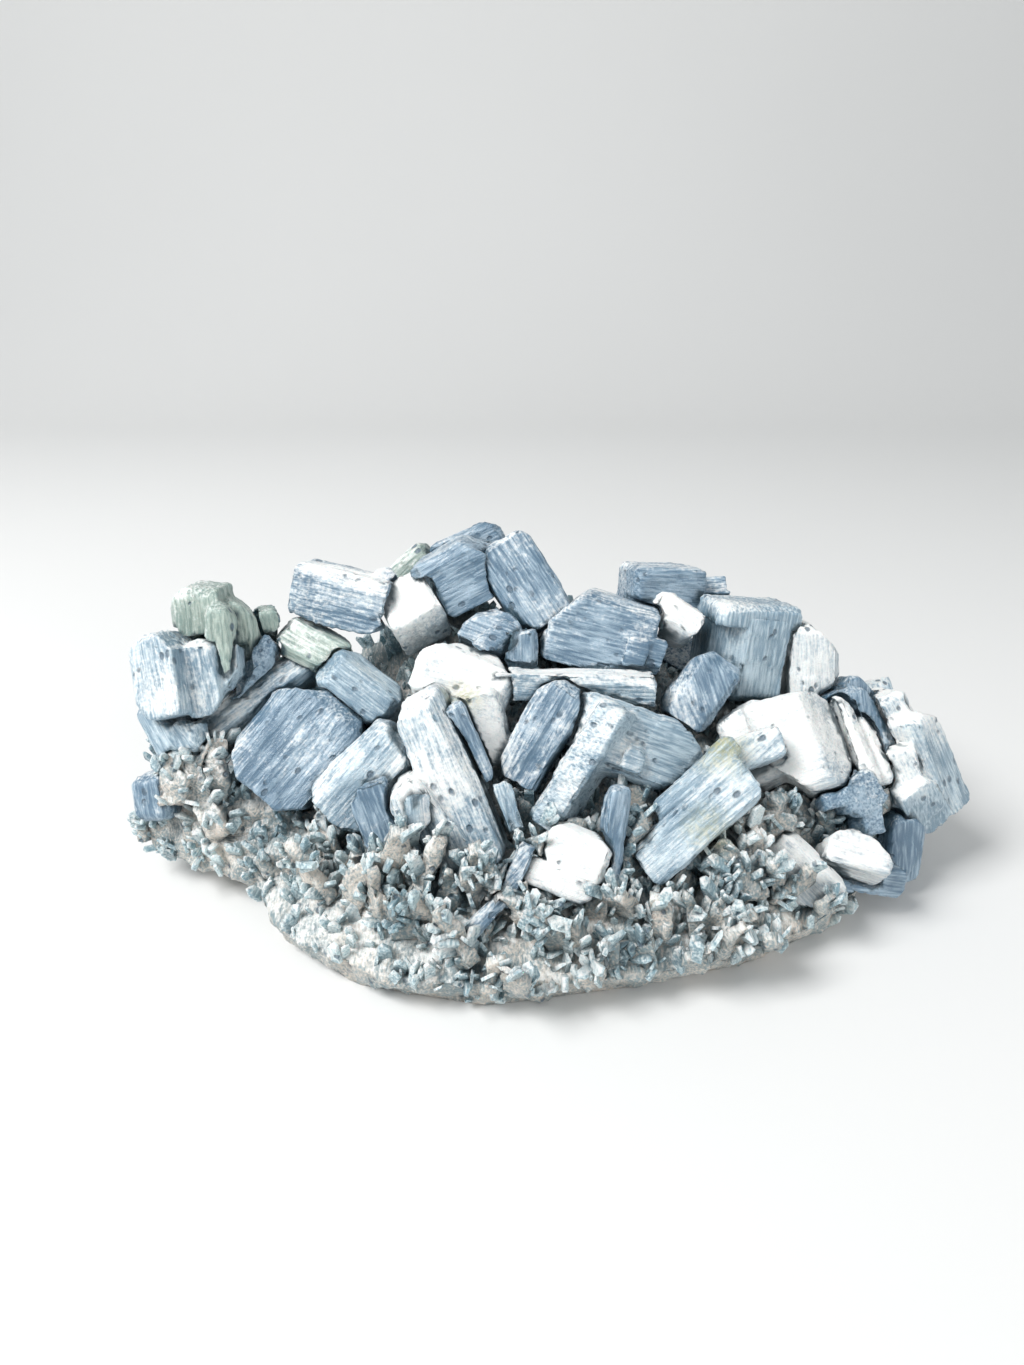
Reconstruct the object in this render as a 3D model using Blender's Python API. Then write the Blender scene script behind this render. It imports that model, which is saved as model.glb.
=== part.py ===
"""Blue barite specimen: a low mound of pale drusy matrix that carries thick, flat-faced blue crystals.

Sizes and places below are in millimetres and degrees; the finished meshes are in metres, with +Z up.
The specimen rests on a flat spot under its mound. The side that faces -Y is its display side.
"""

import math
import random
from dataclasses import dataclass, replace

import bmesh
import bpy
from mathutils import Matrix, Vector, noise

# Scale and clearance
MM = 0.001
CONTACT_GAP = 0.3
PLANE_TOUCH = 1e-5
WELD = 1e-4

# Barite's crystal angles: how far a corner face and an edge face lean from the face beside them
PRISM_ANGLE = 51.0
BEVEL_ANGLE = 50.0
FACE_WANDER = 2.0

# The mound: rounded lobes round one centre, each as (centre, radii)
MOUND_CENTRE = Vector((0.0, 4.0, 6.0))
MOUND_LOBES = (
    ((0.0, 9.0, 6.0), (58.0, 32.0, 25.0)),
    ((-12.0, 0.0, 4.0), (47.0, 48.0, 12.0)),
    ((5.0, 0.0, 4.0), (56.0, 43.5, 12.0)),
    ((-58.0, -3.0, 10.0), (21.0, 14.0, 12.0)),
    ((-56.0, 0.0, 22.0), (16.0, 12.5, 14.0)),
    ((42.0, 4.0, 14.0), (26.0, 20.0, 14.0)),
    ((-8.0, 17.0, 28.0), (34.0, 14.0, 17.0)),
)
MOUND_LUMP = 1.5
MOUND_LUMP_SPACING = 12.0
MOUND_DETAIL = 3
MOUND_STRETCH = (1.7, 1.1, 0.6)

# The crust: rows of blades round the mound, each as (first turn, last turn, blades), lift on the mound,
# usual length of the blades, and how far they splay outwards from upright
BLADE_SEED = 7
BLADE_ROWS = (
    ((-12, 80, 15), 2.0, 7.0, 0.3),
    ((-104, -66, 7), 3.0, 6.0, 0.2),
    ((-60, 84, 26), 5.5, 9.5, 0.0),
    ((-104, 80, 25), 10.0, 11.0, -0.1),
    ((-100, 74, 13), 17.0, 12.0, -0.2),
    ((92, 252, 9), 3.0, 8.0, 0.2),
    ((96, 250, 7), 10.0, 10.0, 0.1),
)
BLADE_LENGTH = (0.75, 1.3)
BLADE_SLIMNESS = (0.28, 0.55)
BLADE_FLATNESS = (0.14, 0.22)
BLADE_SPLAY = 0.35
BLADE_SIDEWAYS = 0.8
BLADE_TWIST = 0.7
BLADE_SINK = 0.12
BLADE_TIP = (0.25, 0.9)

# The far side: where each crystal stands, as (turn, lift), and its (length, width, thickness)
BACK_SEED = 3
BACK_PLACES = (
    (98, 12, (16, 12, 10)),
    (112, 7, (17, 12, 10)),
    (124, 33, (15, 11, 9)),
    (138, 10, (19, 14, 11)),
    (151, 38, (18, 12, 10)),
    (164, 9, (15, 11, 9)),
    (176, 31, (20, 15, 11)),
    (188, 9, (18, 12, 10)),
    (200, 36, (16, 13, 10)),
    (213, 11, (20, 13, 11)),
    (228, 33, (17, 12, 9)),
    (240, 9, (16, 12, 10)),
    (257, 20, (16, 11, 9)),
)

# Finishes: (red, green, blue) and roughness. Crystals not listed below have the usual one.
FINISHES = {
    "steel": ((0.36, 0.47, 0.55), 0.38),
    "mist": ((0.55, 0.65, 0.69), 0.42),
    "rime": ((0.80, 0.84, 0.84), 0.55),
    "sea": ((0.45, 0.55, 0.54), 0.30),
    "crust": ((0.74, 0.78, 0.77), 0.50),
}
USUAL_FINISH = "steel"
FINISH_OF = {
    "mist": (
        "big_rhomb", "slanting_bar", "left_cap", "left_knobs", "left_plates", "centre_plate",
        "upright_blade", "leaning_blade", "stepped_bar", "far_right_blades", "right_plate",
    ),
    "rime": (
        "white_cube", "white_knob", "white_lobe", "white_block", "white_pyramid", "back_log", "tall_column",
        "column_slab", "horizontal_bar", "right_wedge", "pale_block", "pitted_block", "left_foot",
    ),
    "sea": ("left_tower", "green_round", "grey_block", "green_back", "glassy_prism", "back_block"),
}


def direction_of(turn, lift):
    """Unit direction. Turn 0 points to -Y and grows towards +X; lift is above level."""
    turn, lift = math.radians(turn), math.radians(lift)
    return Vector((math.sin(turn) * math.cos(lift), -math.cos(turn) * math.cos(lift), math.sin(lift)))


@dataclass(frozen=True)
class Crystal:
    """One tablet of barite: a block trimmed by flat crystal faces.

    at: centre of the tablet.
    facing: (turn, lift) of its broad front face. Turn 0 faces -Y and grows towards +X.
    lean: how far the long axis leans clockwise from upright, seen from in front.
    size: (length, width, thickness).
    corners: depth trimmed off the corners: top left, top right, bottom right, bottom left.
    bevels: depth trimmed off the front edges: head, right, foot, left.
    """

    at: tuple
    facing: tuple
    lean: float
    size: tuple
    corners: tuple = (0.0, 0.0, 0.0, 0.0)
    bevels: tuple = (0.0, 0.0, 0.0, 0.0)

    def frame(self):
        """Matrix of the tablet's own axes: width, length and thickness, from its centre."""
        normal = direction_of(*self.facing)
        upright = (Vector((0.0, 0.0, 1.0)) - normal * normal.z).normalized()
        aside = upright.cross(normal)
        lean = math.radians(self.lean)
        along = upright * math.cos(lean) + aside * math.sin(lean)
        return axes_frame(self.at, along, normal)

    def beside(self, shift, size, **changes):
        """A neighbour grown parallel to this tablet, shifted by (width, length, thickness)."""
        place = self.frame() @ Vector(shift)
        return replace(self, at=tuple(place), size=size, **changes)


def axes_frame(at, along, normal):
    """Matrix whose axes are width, length (along) and thickness (normal), from a point."""
    across = along.cross(normal)
    frame = Matrix((across, along, normal)).transposed().to_4x4()
    frame.translation = Vector(at)
    return frame


def tablet_faces(size, corners, bevels):
    """Directions of a tablet's faces, in its own axes, with each face's distance from the centre."""
    length, width, thickness = size
    half = Vector((width, length, thickness)) / 2
    faces = []
    for axis in range(3):
        for side in (-1, 1):
            direction = Vector((0.0, 0.0, 0.0))
            direction[axis] = side
            faces.append((direction, half[axis]))

    def trim(direction, depth):
        reach = sum(abs(part) * extent for part, extent in zip(direction, half))
        faces.append((direction, reach - depth))

    prism = math.radians(PRISM_ANGLE)
    for (side, end), depth in zip(((-1, 1), (1, 1), (1, -1), (-1, -1)), corners):
        if depth:
            trim(Vector((side * math.sin(prism), end * math.cos(prism), 0.0)), depth)
    bevel = math.radians(BEVEL_ANGLE)
    for (side, end), depth in zip(((0, 1), (1, 0), (0, -1), (-1, 0)), bevels):
        if depth:
            trim(Vector((side * math.sin(bevel), end * math.sin(bevel), math.cos(bevel))), depth)
    return faces


def trimmed_block(frame, faces, grow, wander):
    """A closed block trimmed by flat faces, each tipped a little as grown faces are.

    grow moves every face outwards, for the hollow that the crystal sits in.
    """
    bm = bmesh.new()
    reach = max(distance for _, distance in faces) * 4
    bmesh.ops.create_cube(bm, size=reach)
    for direction, distance in faces:
        stray = Vector([wander.uniform(-1, 1) for _ in range(3)]) * math.radians(FACE_WANDER)
        tipped = (direction + stray).normalized()
        slice_off(bm, tipped * (distance + grow), tipped)
    bmesh.ops.recalc_face_normals(bm, faces=bm.faces)
    bm.transform(frame)
    return bm


def slice_off(bm, point, normal):
    """Cut away what lies beyond a plane, and close the cut with one flat face."""
    parts = bm.verts[:] + bm.edges[:] + bm.faces[:]
    plane = {"plane_co": point, "plane_no": normal, "dist": PLANE_TOUCH}
    cut = bmesh.ops.bisect_plane(bm, geom=parts, clear_outer=True, **plane)
    rim = [part for part in cut["geom_cut"] if isinstance(part, bmesh.types.BMEdge)]
    if rim:
        bmesh.ops.edgeloop_fill(bm, edges=rim)


def crystal_mesh(crystal, name, grow=0.0):
    """Mesh of one crystal, or of its hollow when grow is given."""
    faces = tablet_faces(crystal.size, crystal.corners, crystal.bevels)
    wander = random.Random(f"{name} {crystal.at} {crystal.size}")
    return trimmed_block(crystal.frame(), faces, grow, wander)


def new_object(name, bm, collection):
    """Object that holds a finished bmesh, in the given collection."""
    mesh = bpy.data.meshes.new(name)
    bm.to_mesh(mesh)
    bm.free()
    obj = bpy.data.objects.new(name, mesh)
    collection.objects.link(obj)
    return obj


def new_collection(name):
    """Collection linked to the scene."""
    collection = bpy.data.collections.new(name)
    bpy.context.scene.collection.children.link(collection)
    return collection


def new_cutter(name, bm, collection):
    """Helper object for a Boolean: drawn as wires and left out of renders."""
    cutter = new_object(name, bm, collection)
    cutter.hide_render = True
    cutter.display_type = "WIRE"
    return cutter


def apply_boolean(obj, operation, cutters):
    """Join or cut an object with others, one after another, and keep the result in its mesh."""
    for cutter in cutters:
        modifier = obj.modifiers.new(operation.title(), "BOOLEAN")
        modifier.operation = operation
        modifier.solver = "EXACT"
        modifier.object = cutter
    graph = bpy.context.evaluated_depsgraph_get()
    mesh = bpy.data.meshes.new_from_object(obj.evaluated_get(graph))
    obj.modifiers.clear()
    spent = obj.data
    obj.data = mesh
    bpy.data.meshes.remove(spent)


def remove_objects(objects):
    """Delete helper objects and their meshes."""
    for obj in objects:
        mesh = obj.data
        bpy.data.objects.remove(obj)
        bpy.data.meshes.remove(mesh)


def corner_box(obj):
    """Lowest and highest corners of an object's mesh."""
    points = [vertex.co for vertex in obj.data.vertices]
    low = Vector([min(point[axis] for point in points) for axis in range(3)])
    high = Vector([max(point[axis] for point in points) for axis in range(3)])
    return low, high


def boxes_meet(first, second):
    """Whether two corner boxes overlap."""
    return all(first[0][axis] < second[1][axis] and second[0][axis] < first[1][axis] for axis in range(3))


def keep_largest_body(obj):
    """Drop the chips that cuts have parted from an object."""
    bm = bmesh.new()
    bm.from_mesh(obj.data)
    bmesh.ops.remove_doubles(bm, verts=bm.verts, dist=WELD)
    bodies = []
    unseen = set(bm.faces)
    while unseen:
        body = set()
        front = [unseen.pop()]
        while front:
            face = front.pop()
            body.add(face)
            for edge in face.edges:
                for other in edge.link_faces:
                    if other in unseen:
                        unseen.discard(other)
                        front.append(other)
        bodies.append(body)
    if len(bodies) > 1:
        largest = max(bodies, key=lambda body: abs(body_volume(body)))
        spare = [face for body in bodies if body is not largest for face in body]
        bmesh.ops.delete(bm, geom=spare, context="FACES")
    bm.to_mesh(obj.data)
    bm.free()


def body_volume(faces):
    """Volume inside a closed set of faces."""
    volume = 0.0
    for face in faces:
        first, *others = [vertex.co for vertex in face.verts]
        for second, third in zip(others, others[1:]):
            volume += first.dot(second.cross(third)) / 6
    return volume


def left_crystals():
    """The upright blades and leaning bars of the left end."""
    tower = Crystal((-62.8, 0.5, 42.5), (-5, 8), 0, (21.5, 9.5, 9), (2, 0.6, 0, 0), (0.8, 0.6, 0, 1.2))
    cap = Crystal((-68.2, -6.5, 39.5), (-20, 22), -18, (15.5, 11, 9), (3.5, 2.5, 0, 3), (1, 0, 0, 1.5))
    return {
        "big_rhomb": [
            Crystal((-46, -8.5, 27), (0, 30), -50, (18, 21.5, 11), (3.5, 4.5, 2, 2.5), (2, 1.5, 0, 0)),
        ],
        "fibrous_rhomb": [
            Crystal((-31.5, -16.5, 23.5), (0, 25), -45, (15.5, 18.5, 9), (1, 1, 5, 4), (2.2, 1, 0, 0)),
        ],
        "domed_rhomb": [
            Crystal((-35, -2, 34.5), (5, 38), -50, (16, 10, 11), (1.5, 2, 2, 2), (2, 2.5, 1, 1)),
        ],
        "slanting_bar": [
            Crystal((-53, -1, 33), (0, 45), 50, (25, 7.5, 7), (1, 1, 1, 1.5), (0, 1.2, 0, 1.2)),
        ],
        "left_cap": [
            cap,
            Crystal((-61, -5.5, 38.8), (5, 20), -5, (13.5, 6.5, 8), (1, 1, 2, 0), (1, 0.8, 0, 0)),
            Crystal((-57, -5, 40), (-10, 35), -15, (8, 5, 4.5), (0, 0, 2.2, 1)),
        ],
        "left_tower": [
            tower,
            Crystal((-56.6, 2, 41), (18, 5), -8, (20, 7, 7), (0.5, 2.5, 0, 0), (0.6, 1, 0, 0)),
            Crystal((-58.3, -4.8, 45.5), (5, 15), 5, (13, 5, 4), (1, 1.4, 0, 1), (0.8, 0.5, 0, 0.5)),
        ],
        "left_knobs": [
            Crystal((-68.5, -6.5, 30), (-30, 15), -45, (10, 7, 9), (1, 0.5, 1.5, 0.5), (1, 1, 0, 1)),
            Crystal((-64, -8.5, 29.5), (-10, 20), -5, (7, 7.5, 8), (2, 1.2, 1.5, 1.2), (1.2, 1, 0.8, 1)),
        ],
        "left_foot": [
            Crystal((-71, -10.5, 18), (-20, 15), -15, (9, 7.5, 9), (1.8, 1, 1, 1.8), (1.2, 1, 1, 1.2)),
        ],
        "dark_wedge": [
            Crystal((-55, -0.5, 38), (10, 35), 50, (13, 6, 8), (1, 2, 0.5, 1), (0.5, 1.2, 0, 1)),
        ],
        "green_round": [
            Crystal((-44, 4, 39.5), (0, 50), -60, (15, 9.5, 9), (2, 1.5, 2, 3), (1.5, 2, 1.5, 1)),
        ],
        "grey_block": [
            Crystal((-53, 5, 41.2), (20, 10), 0, (13, 6, 7), (1.5, 0.5, 0, 0), (0.8, 0, 0, 0.8)),
        ],
    }


def back_row_crystals():
    """The skyline: blocks and cubes that stand on the ridge."""
    log = Crystal((-39, 9, 48.5), (-8, 12), -80, (18.5, 10, 10), (0.8, 0.5, 0.5, 1), (0.5, 1.5, 0, 0))
    right_peak = Crystal((-6, 10, 50), (5, 30), -30, (18, 11, 9), (2, 1, 1, 2), (0.8, 0.6, 0, 1))
    step_block = Crystal((8, 6, 42.8), (-3, 18), 15, (14, 20, 13), (5, 0.6, 0, 0), (1.5, 0.8, 0, 1))
    stack = Crystal((34.5, 7.5, 37.7), (12, 8), 8, (16, 14, 13), (0, 0, 0, 0), (0, 0.5, 1, 4))
    return {
        "white_cube": [
            Crystal((-26.5, 8.5, 45.5), (-15, 52), -38, (10.5, 10, 10), (0.6, 0.5, 0, 0.5), (0.4, 0.4, 0.4, 0)),
        ],
        "back_log": [
            log,
            Crystal((-31, 11, 50), (0, 30), -5, (6.5, 5, 6), (1, 1.5, 1, 0.5), (0.8, 0.5, 0, 0.5)),
        ],
        "right_peak": [right_peak],
        "left_peak": [
            Crystal((-17.5, 13.5, 51), (-5, 8), -30, (12.5, 15, 13), (1, 3, 2, 3), (1.5, 0.5, 0, 0)),
        ],
        "brown_back": [Crystal((-15.5, 24, 51), (0, 20), 65, (15, 12, 8), (2, 1, 1, 1), (1, 0, 0, 1))],
        "green_back": [Crystal((-28, 24, 47), (-10, 20), 45, (13, 9, 7), (1, 1, 1, 2), (0.8, 0, 0, 0.8))],
        "striated_arch": [
            Crystal((-11.5, 3.5, 43), (0, 40), 75, (13, 9.5, 7), (1.5, 2, 1, 2.5), (1.2, 1, 0, 1.5)),
            Crystal((-11, 0.5, 43), (0, 45), 50, (9, 5, 5), (0.8, 0.8, 0.5, 0.5), (0.8, 0.8, 0, 0.8)),
        ],
        "pitted_prism": [
            Crystal((-6.5, 1, 41), (0, 10), -3, (9, 6.5, 7), (0.5, 0.5, 0, 0), (0.6, 0.6, 0, 0.6)),
        ],
        "sloping_block": [
            step_block,
            step_block.beside((7, -2, 5.5), (6, 4, 4), corners=(0, 0, 0, 0), bevels=(0, 0, 0, 0)),
            step_block.beside((10.5, -1.5, 4.5), (6.5, 3, 4), corners=(0, 0, 0, 0), bevels=(0, 0, 0, 0)),
        ],
        "back_block": [
            Crystal((20.8, 16.8, 46.3), (15, 8), 7, (11, 15, 10), (0.6, 1, 0, 0), (0.8, 0.8, 0, 0.6)),
            Crystal((30, 19, 46.5), (0, 60), 90, (8, 5, 3)),
        ],
        "white_knob": [
            Crystal((21.3, 6.5, 44.8), (10, 40), -50, (10, 7, 9), (1.5, 1.5, 1, 1), (0.8, 1, 0, 0.8)),
        ],
        "layered_stack": [
            stack,
            stack.beside((0.5, 8.2, 0.5), (4, 16, 11.5), corners=(0.8, 0.8, 0, 0), bevels=(0.8, 0.5, 0, 0.5)),
        ],
        "blue_wedge": [
            Crystal((26, -2, 34.5), (-10, 28), 30, (14, 10, 10), (2, 1.2, 1, 1), (1.5, 1, 0, 1.5)),
        ],
        "pitted_block": [
            Crystal((47.5, 6, 35.6), (0, 12), -5, (18, 9, 12), (1, 3.5, 0, 0), (1, 1, 0, 1.5)),
        ],
    }


def right_crystals():
    """The broad white pyramid and the stepped blades of the right end."""
    pyramid = Crystal((43, -9, 26.5), (-15, 38), -25, (18, 15.5, 16), (0.5, 2, 2.5, 5), (1, 4.5, 1, 1))
    far_blade = Crystal((66.5, -6, 23), (35, 20), -20, (22, 9.5, 9), (0.5, 4, 0.5, 1.5), (0.8, 1.5, 0, 0.8))
    return {
        "white_pyramid": [
            pyramid,
            pyramid.beside((9.5, -1.5, -2.5), (17, 3.5, 10), corners=(0, 1.5, 0.8, 0), bevels=(0.8, 1, 0.5, 0)),
            pyramid.beside((12, -3.5, -4.5), (14, 3.5, 8), corners=(0, 1.5, 0.8, 0), bevels=(0.8, 1, 0.5, 0)),
            Crystal((35.5, -8, 25.5), (-25, 40), -40, (15, 10, 12), (1.5, 1, 0, 2), (1, 1, 0.5, 1)),
        ],
        "stepped_foot": [
            Crystal((50.5, -16, 21.5), (20, 30), -20, (7, 8, 8), (1, 1, 0, 1), (0.5, 0.5, 0, 0)),
            Crystal((46.8, -17, 22), (0, 35), -15, (5, 5.5, 6)),
            Crystal((52.5, -18, 18.5), (15, 20), -5, (7, 4, 6), (0.5, 0.3, 0, 0)),
        ],
        "right_wall": [
            Crystal((54.5, -4, 28), (25, 35), -15, (16, 8.5, 9), (2, 3, 1, 1), (1, 1.5, 0, 0.5)),
            Crystal((54.5, 1, 32), (20, 25), -40, (8, 5, 6), (1, 1, 0, 1)),
        ],
        "far_right_blades": [
            far_blade,
            Crystal((61.5, -3.5, 27), (15, 22), -20, (16, 6.5, 9), (0.5, 0.8, 1, 1), (0.8, 0.5, 0, 0)),
            Crystal((60.5, -9.5, 22), (0, 12), -15, (11, 6, 8), (0.8, 0, 0.5, 0)),
            Crystal((64, -10, 17), (20, -5), -35, (13, 8, 9), (0.6, 1.2, 0.8, 2)),
        ],
        "right_plate": [
            Crystal((61, -13, 9.5), (15, 5), -5, (14.5, 8, 9), (1.5, 2.5, 2.5, 1.5), (0.8, 1, 0.8, 0.6)),
        ],
        "right_wedge": [
            Crystal((50, -22.5, 13.5), (5, 50), -70, (12, 7.5, 8), (0.6, 2.5, 3.5, 0.8), (0.8, 0.8, 0.6, 0.8)),
        ],
        "right_prism": [
            Crystal((54, -20.5, 8), (5, 8), 10, (5, 11, 7), (0, 0.5, 0.4, 0)),
            Crystal((48.5, -21.5, 9), (0, 5), -10, (6.5, 3.5, 7)),
        ],
        "pale_block": [
            Crystal((39, -23.5, 10.5), (0, 25), -45, (14.5, 10.5, 12), (3, 1.5, 0.5, 4), (1, 1, 0, 1)),
        ],
    }


def middle_crystals():
    """The column, fan, bars and blocks of the front slope."""
    lobe = Crystal((-16.5, -2.5, 36.5), (-3, 35), -70, (18, 12.5, 11), (1.5, 3.5, 3, 2), (1.2, 2, 1, 1))
    fan = Crystal((13, -13, 29), (15, 30), -65, (23, 13, 9), (2.5, 0.5, 4, 4), (0.8, 1, 0, 0.8))
    plank = Crystal((21.8, -26.5, 22.6), (-8, 32), 45, (23, 8, 7), (0.4, 0.8, 0.6, 0), (0.3, 0.5, 0, 0.8))
    return {
        "tall_column": [
            Crystal((-18.5, -19.5, 26.5), (-3, 27), -25, (31, 9.5, 10), (2.8, 1, 1.5, 2.5), (2.2, 1.5, 0.5, 1)),
            Crystal((-21, -25.5, 21.5), (0, 22), -40, (18, 7, 8), (1.5, 1, 1, 2), (0.8, 0.5, 0, 0.5)),
        ],
        "column_slab": [
            Crystal((-15.5, -16, 31.5), (12, 25), -20, (15, 4.2, 7), (0.8, 0.5, 0.8, 0), (0.8, 0.5, 0, 0)),
        ],
        "white_lobe": [
            lobe,
            Crystal((-12.8, -9.5, 31), (20, 20), -10, (14, 7.5, 9), (0.5, 1.2, 1.2, 0.5), (0.5, 1, 0.5, 0)),
        ],
        "stepped_bar": [
            plank,
            plank.beside((-5.2, 4.5, -0.6), (17.5, 4, 6), corners=(0.6, 0.4, 0.4, 0.6)),
            Crystal((31, -17.5, 30), (-8, 36), 65, (13, 6, 6), (0.6, 0.8, 0.6, 0.6), (0.5, 0.6, 0, 0.6)),
        ],
        "fan_plates": [
            Crystal((4, -18, 28), (-25, 32), 20, (24, 6.5, 9), (0.8, 0.6, 0.5, 0.8), (0.8, 0.5, 0, 1)),
            fan,
            fan.beside((-2.5, 4, 4.7), (9, 5, 1.6), corners=(0.6, 0.8, 0.5, 0.4), bevels=(0, 0, 0, 0)),
            fan.beside((-3.2, 1.5, 4.9), (4, 4, 2.4), corners=(0, 0.5, 0.5, 0), bevels=(0, 0, 0, 0)),
        ],
        "fan_blade": [
            Crystal((-2.6, -13, 31.5), (-12, 28), 25, (19.5, 9, 7), (2, 2.2, 0, 1.5), (1, 0.8, 0, 0.8)),
        ],
        "horizontal_bar": [
            Crystal((3, -5.5, 37), (0, 8), -87, (29, 5.5, 6), (0.3, 0.3, 0.3, 0.3), (0, 0.4, 0, 0)),
        ],
        "white_block": [
            Crystal((2, -30, 18.8), (0, 40), -70, (11, 8.5, 10), (2, 2, 1.8, 0.6), (0.8, 1.2, 0.8, 0.6)),
            Crystal((-1, -34.5, 17), (0, 35), -70, (12, 4.5, 5), (0.8, 0.5, 0.4, 1)),
        ],
        "upright_blade": [
            Crystal((7.8, -30.5, 21.5), (8, 22), 10, (18, 3.8, 4), (0.8, 0.6, 0, 0), (0.4, 0.4, 0, 0.4)),
        ],
        "leaning_blade": [
            Crystal((-7.5, -35.5, 18.8), (0, 28), 25, (11, 3, 3.6), (0.4, 0.4, 0, 0), (0.5, 0.3, 0, 0.3)),
            Crystal((-13, -39.5, 12.7), (0, 30), 45, (12.5, 2.8, 3.2), (0.4, 0.3, 0.3, 0.4)),
        ],
        "glassy_prism": [Crystal((-8.5, -23, 22.9), (5, 40), -15, (9, 3.6, 4.5), (0.4, 0.8, 0, 0.4))],
        "left_plates": [
            Crystal((-30, -25, 22.5), (0, 20), -20, (12, 7.5, 4.5), (2, 0.4, 1.5, 1.5), (0.4, 0.3, 0, 0.3)),
        ],
        "centre_plate": [
            Crystal((-22.7, -27.5, 23), (5, 20), -5, (11, 4.8, 4), (0.5, 0.5, 0.8, 0), (0.4, 0.3, 0, 0)),
        ],
    }


def loose_blades():
    """Thin blades placed one by one, fused in the matrix with the rest of its crust."""
    return [
        Crystal((-67, -11.5, 26), (-10, 20), -35, (10, 3, 2.5), (0.6, 0.4, 0, 0)),
        Crystal((-63.2, -11.9, 25.5), (5, 20), 25, (9, 2.4, 2.5), (0.4, 0.3, 0, 0)),
        Crystal((-61.5, -14.5, 18.5), (-5, 25), -25, (13, 3.6, 3), (0.5, 0.8, 0, 0)),
        Crystal((-59.5, -11, 23.5), (0, 20), 5, (11, 3.6, 4), (0.8, 0.4, 0.4, 0.4)),
        Crystal((-67, -13, 21.5), (-20, 25), -20, (7, 7, 4), (1.2, 1.5, 0.8, 0.5)),
        Crystal((-21.8, -34, 17.8), (0, 28), 25, (14, 2.4, 3), (0.4, 0.3, 0, 0)),
        Crystal((29.4, -27, 20), (0, 20), -15, (8, 1.8, 2.4), (0.3, 0.3, 0, 0)),
        Crystal((31.7, -28.5, 17), (0, 20), -8, (13, 1.8, 2.4), (0.3, 0.3, 0, 0)),
        Crystal((27, -30, 16), (5, 22), -45, (11, 6, 3.5), (1.4, 0.4, 0.8, 0.8)),
        Crystal((25.8, -35.5, 10.5), (0, 22), 15, (7, 5.5, 3), (1, 0.8, 0, 0.6)),
        Crystal((33.7, -21.5, 19), (-5, 30), -80, (10, 4.6, 6), (0.8, 0.5, 0, 0)),
    ]


def mound_reach(direction):
    """How far the mound's smooth surface lies from its centre in a direction."""
    farthest = 0.0
    for centre, radii in MOUND_LOBES:
        start = [(MOUND_CENTRE[axis] - centre[axis]) / radii[axis] for axis in range(3)]
        step = [direction[axis] / radii[axis] for axis in range(3)]
        square = sum(part * part for part in step)
        half = sum(a * b for a, b in zip(start, step))
        rest = sum(part * part for part in start) - 1
        inside = half * half - square * rest
        if inside > 0:
            farthest = max(farthest, (-half + math.sqrt(inside)) / square)
    return farthest


def mound_point(direction):
    """Point of the lumpy mound in a direction from its centre."""
    smooth = MOUND_CENTRE + direction * mound_reach(direction)
    lump = noise.noise(smooth / MOUND_LUMP_SPACING) + 0.5 * noise.noise(smooth / MOUND_LUMP_SPACING * 2.3)
    return smooth + direction * lump * MOUND_LUMP


def make_mound(collection):
    """The matrix: a lumpy mound with facets of about one size, cut flat where it rests."""
    bm = bmesh.new()
    bmesh.ops.create_icosphere(bm, subdivisions=MOUND_DETAIL, radius=1.0)
    for vertex in bm.verts:
        spread = [part * stretch for part, stretch in zip(vertex.co, MOUND_STRETCH)]
        vertex.co = mound_point(Vector(spread).normalized())
    slice_off(bm, Vector((0.0, 0.0, 0.0)), Vector((0.0, 0.0, -1.0)))
    bmesh.ops.recalc_face_normals(bm, faces=bm.faces)
    return new_object("matrix", bm, collection)


def crust_blades():
    """Blades that bristle from the mound in rows round it, as (frame, size)."""
    draw = random.Random(BLADE_SEED)
    blades = []
    for (first, last, count), lift, usual_length, splay in BLADE_ROWS:
        for index in range(count):
            turn = first + (last - first) * (index + draw.uniform(-0.4, 0.4)) / (count - 1)
            outwards = direction_of(turn, lift + draw.uniform(-2.5, 2.5))
            level = direction_of(turn, 0)
            sideways = direction_of(turn + 90, 0) * draw.uniform(-BLADE_SIDEWAYS, BLADE_SIDEWAYS)
            lean = level * (splay + draw.uniform(-BLADE_SPLAY, BLADE_SPLAY))
            along = (Vector((0, 0, 1)) + lean + sideways).normalized()
            side = level + Vector([draw.uniform(-1, 1) for _ in range(3)]) * BLADE_TWIST
            normal = (side - along * side.dot(along)).normalized()
            length = usual_length * draw.uniform(*BLADE_LENGTH)
            size = (length, length * draw.uniform(*BLADE_SLIMNESS), length * draw.uniform(*BLADE_FLATNESS))
            middle = mound_point(outwards) + along * length * (0.5 - BLADE_SINK)
            blades.append((axes_frame(middle, along, normal), size))
    return blades


def blade_mesh(frame, size, wander):
    """A small blade whose end slopes to one side."""
    tip = [0.0, 0.0, 0.0, 0.0]
    tip[wander.choice((0, 1))] = size[1] * wander.uniform(*BLADE_TIP)
    return trimmed_block(frame, tablet_faces(size, tip, (0, 0, 0, 0)), 0.0, wander)


def hidden_crystals():
    """Crystals of the far side, which no view of the display side shows: two loose rows up the slope."""
    draw = random.Random(BACK_SEED)
    crystals = {}
    for turn, lift, size in BACK_PLACES:
        outwards = direction_of(turn, lift)
        at = mound_point(outwards) + outwards * size[2] * 0.2
        facing = (turn + draw.uniform(-20, 20), lift * 0.6 + draw.uniform(-5, 15))
        trims = [draw.uniform(0.5, 3) for _ in range(4)]
        edges = [draw.uniform(0.4, 1.6) for _ in range(4)]
        name = f"back_crystal_{len(crystals) + 1:02d}"
        crystals[name] = [Crystal(tuple(at), facing, draw.uniform(-60, 60), size, trims, edges)]
    return crystals


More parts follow.
